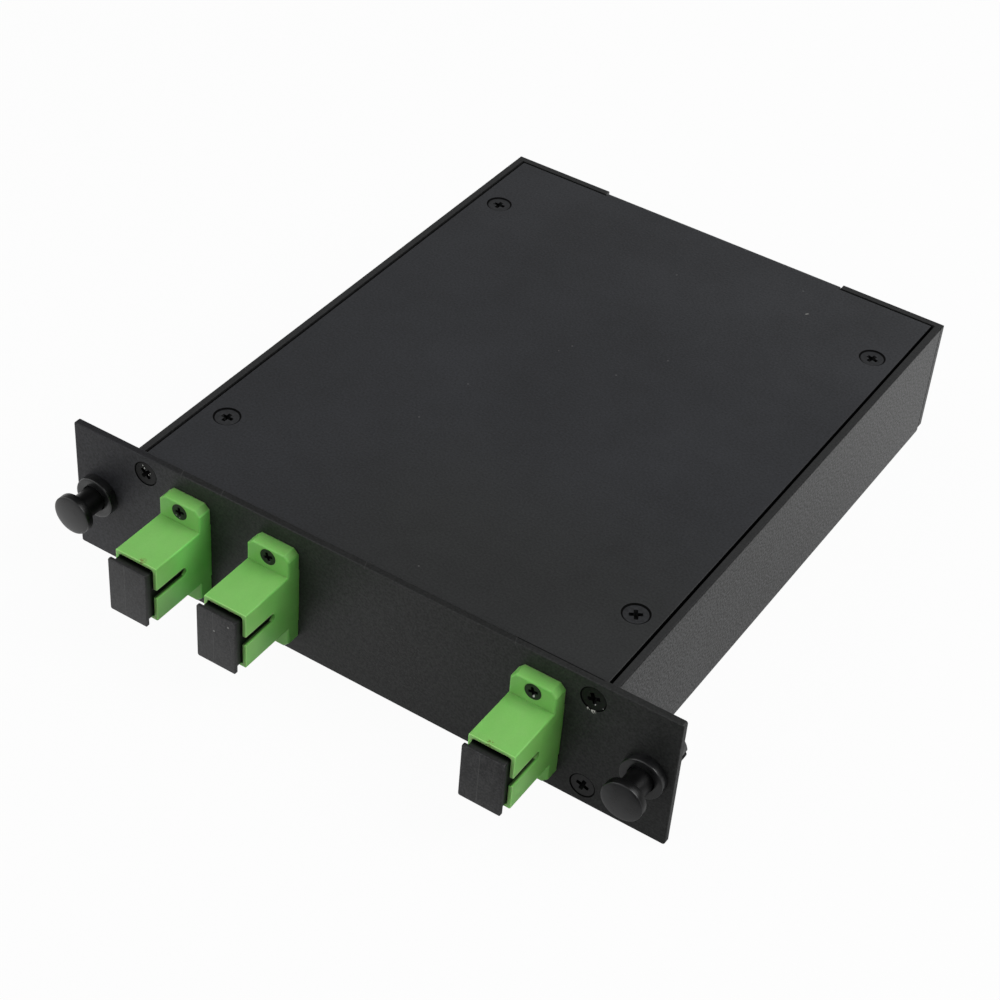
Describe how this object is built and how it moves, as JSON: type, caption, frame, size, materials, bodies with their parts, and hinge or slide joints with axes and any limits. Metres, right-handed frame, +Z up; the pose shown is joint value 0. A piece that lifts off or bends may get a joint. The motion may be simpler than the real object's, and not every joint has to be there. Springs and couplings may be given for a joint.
{
  "type": "plc fibre splitter",
  "caption": "Black sheet-metal fibre splitter cassette with square green angled-polish couplers and dust caps on its front panel, push-pull latches in the ears and a screwed cover.",
  "frame": {"origin": "middle of the front panel's back face, midway between the axes of the two latches", "axes": "+X to the right seen from the front, +Y to the back into the case, +Z up"},
  "size_m": [0.1296, 0.1496, 0.029],
  "materials": {
    "powder_coat": "fine textured black powder coat",
    "black_screw": "black plated steel",
    "zinc_steel": "zinc-plated steel",
    "coupler_green": "green moulded plastic, satin",
    "holder_white": "white moulded plastic",
    "ceramic": "white ceramic, polished",
    "cap_black": "black moulded plastic, matt",
    "plug_green": "green moulded plastic",
    "boot_green": "green soft plastic",
    "latch_black": "black moulded plastic, glossy",
    "lead_jacket": "white jacket",
    "tube_steel": "thin stainless tube",
    "boot_black": "black rubber",
    "chip_glass": "clear glass",
    "foam": "black foam tape",
    "clip_black": "black moulded plastic"
  },
  "bodies": {
    "case": {"alignment_sleeve_input": "ceramic", "alignment_sleeve_output_1": "ceramic", "alignment_sleeve_output_2": "ceramic", "case_tray": "powder_coat", "coupler_input": "coupler_green", "coupler_nuts": "zinc_steel", "coupler_output_1": "coupler_green", "coupler_output_2": "coupler_green", "coupler_screws": "black_screw", "cover_pillars": "zinc_steel", "cover_screws": "black_screw", "ferrule_input": "ceramic", "ferrule_output_1": "ceramic", "ferrule_output_2": "ceramic", "fibre_array_input": "chip_glass", "fibre_array_outputs": "chip_glass", "fibre_lead_input": "lead_jacket", "fibre_lead_output_1": "lead_jacket", "fibre_lead_output_2": "lead_jacket", "front_holder_input": "holder_white", "front_holder_output_1": "holder_white", "front_holder_output_2": "holder_white", "front_panel": "powder_coat", "latch_grommet_left": "latch_black", "latch_grommet_right": "latch_black", "lead_clip_front": "clip_black", "lead_clip_rear": "clip_black", "lead_clip_side": "clip_black", "panel_screws": "black_screw", "plug_boot_input": "boot_green", "plug_boot_output_1": "boot_green", "plug_boot_output_2": "boot_green", "plug_frame_input": "holder_white", "plug_frame_output_1": "holder_white", "plug_frame_output_2": "holder_white", "plug_housing_input": "plug_green", "plug_housing_output_1": "plug_green", "plug_housing_output_2": "plug_green", "plug_stem_input": "zinc_steel", "plug_stem_output_1": "zinc_steel", "plug_stem_output_2": "zinc_steel", "rear_holder_input": "holder_white", "rear_holder_output_1": "holder_white", "rear_holder_output_2": "holder_white", "splitter_boot_input": "boot_black", "splitter_boot_outputs": "boot_black", "splitter_chip": "chip_glass", "splitter_pad": "foam", "splitter_tube": "tube_steel", "top_cover": "powder_coat"},
    "latch_left": {"latch_plunger_left": "latch_black"},
    "latch_right": {"latch_plunger_right": "latch_black"},
    "cap_input": {"dust_cap_input": "cap_black"},
    "cap_output_1": {"dust_cap_output_1": "cap_black"},
    "cap_output_2": {"dust_cap_output_2": "cap_black"}
  },
  "joints": [
    {"name": "latch_left_push", "type": "slide", "parent": "case", "child": "latch_left", "axis": [0, 1, 0], "range_m": [0, 0.0045]},
    {"name": "latch_right_push", "type": "slide", "parent": "case", "child": "latch_right", "axis": [0, 1, 0], "range_m": [0, 0.0045]},
    {"name": "cap_input_pull", "type": "slide", "parent": "case", "child": "cap_input", "axis": [0, -1, 0], "range_m": [0, 0.012]},
    {"name": "cap_output_1_pull", "type": "slide", "parent": "case", "child": "cap_output_1", "axis": [0, -1, 0], "range_m": [0, 0.012]},
    {"name": "cap_output_2_pull", "type": "slide", "parent": "case", "child": "cap_output_2", "axis": [0, -1, 0], "range_m": [0, 0.012]}
  ]
}
